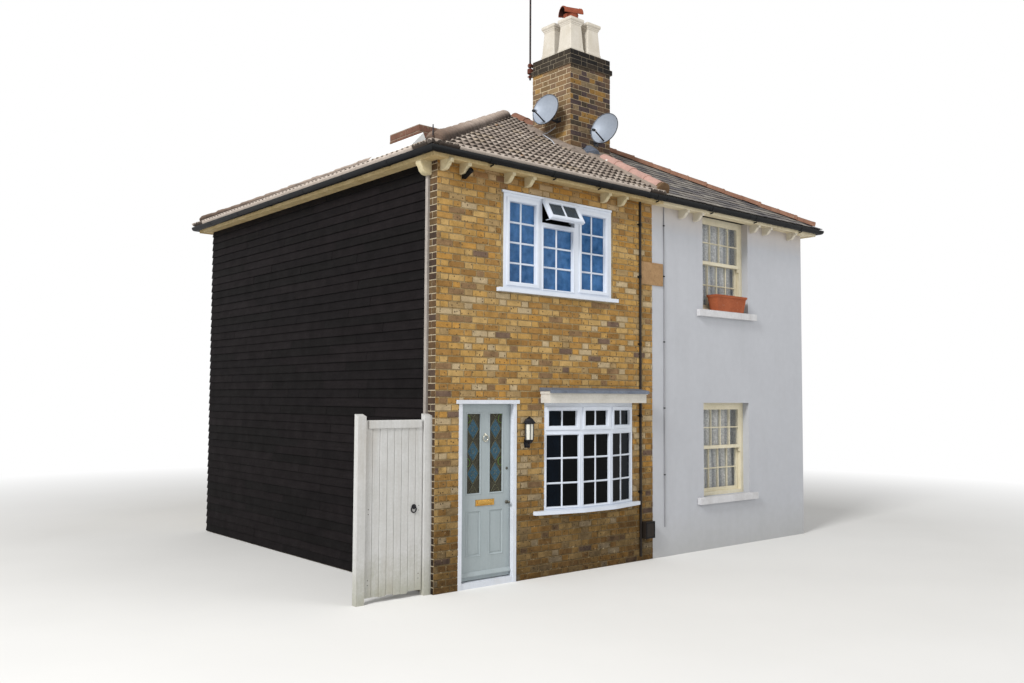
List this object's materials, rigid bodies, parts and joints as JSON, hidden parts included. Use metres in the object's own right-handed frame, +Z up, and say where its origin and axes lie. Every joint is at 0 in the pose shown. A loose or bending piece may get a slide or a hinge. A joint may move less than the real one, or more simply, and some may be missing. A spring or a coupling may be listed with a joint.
{
  "type": "terraced cottage pair",
  "caption": "Attached pair of small two-storey cottages under one hipped roof with a shared chimney; one brick front with bow window, one rendered front, opening front door and side gate",
  "frame": {"origin": "on the ground, on the party line between the two houses at mid-depth, under the apex of the roof", "axes": "+X to the right along the street front, +Y away from the street into the houses, +Z up"},
  "size_m": [8.437, 6.7134, 8.25],
  "materials": {
    "stock_brick": "rough",
    "render": "matte",
    "tarred_boards": "satin",
    "plain_masonry": "rough",
    "floorboards": "worn",
    "chimney_brick": "rough",
    "cream_clay": "matte",
    "orange_clay": "matte",
    "mortar": "rough",
    "concrete_tile": "weathered",
    "slate": "weathered",
    "mossy_concrete": "weathered",
    "clay_tile": "weathered",
    "pink_ridge": "weathered",
    "red_brick": "rough",
    "cream_paint": "satin paint",
    "black_plastic": "satin",
    "grey_metal": "satin",
    "rusty_iron": "rusty",
    "white_frame": "satin",
    "lead": "dull",
    "window_glass": "clear",
    "sage_paint": "eggshell paint",
    "leaded_glass": "leaded",
    "brass_fittings": "polished",
    "black_iron": "satin",
    "stone_paint": "matte paint",
    "terracotta": "matte",
    "white_wood": "satin paint",
    "tan_stone": "matte"
  },
  "bodies": {
    "house": {"front_wall_door_pier": "stock_brick", "front_wall_lower": "stock_brick", "front_wall_upper": "stock_brick", "rendered_front_wall": "render", "side_wall": "stock_brick", "weatherboarding": "tarred_boards", "rendered_side_wall": "render", "rear_wall_brick": "stock_brick", "rear_wall_rendered": "render", "party_wall": "plain_masonry", "floors": "floorboards", "chimney_stack": "chimney_brick", "chimney_pots": "cream_clay", "chimney_cowl": "orange_clay", "mortar_flaunching": "mortar", "tiled_roof": "concrete_tile", "slate_roof": "slate", "concrete_hip_tiles": "mossy_concrete", "clay_hip_tiles": "clay_tile", "party_ridge_tiles": "pink_ridge", "stub_chimney": "red_brick", "eaves_boards": "cream_paint", "gutters": "black_plastic", "eaves_brackets": "cream_paint", "satellite_dishes": "grey_metal", "aerial_mast": "rusty_iron", "upper_window_frame": "white_frame", "bow_window_frame": "white_frame", "bow_window_cornice": "cream_paint", "bow_window_lead": "lead", "window_glass": "window_glass", "door_frame": "cream_paint", "lantern": "black_iron", "sash_windows": "cream_paint", "window_sills": "stone_paint", "window_box": "terracotta", "closed_doors": "cream_paint", "gate_posts": "white_wood", "plaque": "tan_stone", "wall_services": "black_plastic"},
    "front_door": {"door_leaf": "sage_paint", "door_glass": "leaded_glass", "door_furniture": "brass_fittings"},
    "side_gate": {"gate_leaf": "white_wood", "gate_ironwork": "black_iron"}
  },
  "joints": [
    {"name": "front_door_hinge", "type": "hinge", "parent": "house", "child": "front_door", "pos_m": [-3.2475, -2.942, 1], "axis": [0, 0, 1], "range_deg": [0, 90]},
    {"name": "side_gate_hinge", "type": "hinge", "parent": "house", "child": "side_gate", "pos_m": [-4.4455, -2.925, 1], "axis": [0, 0, 1], "range_deg": [0, 90]}
  ]
}
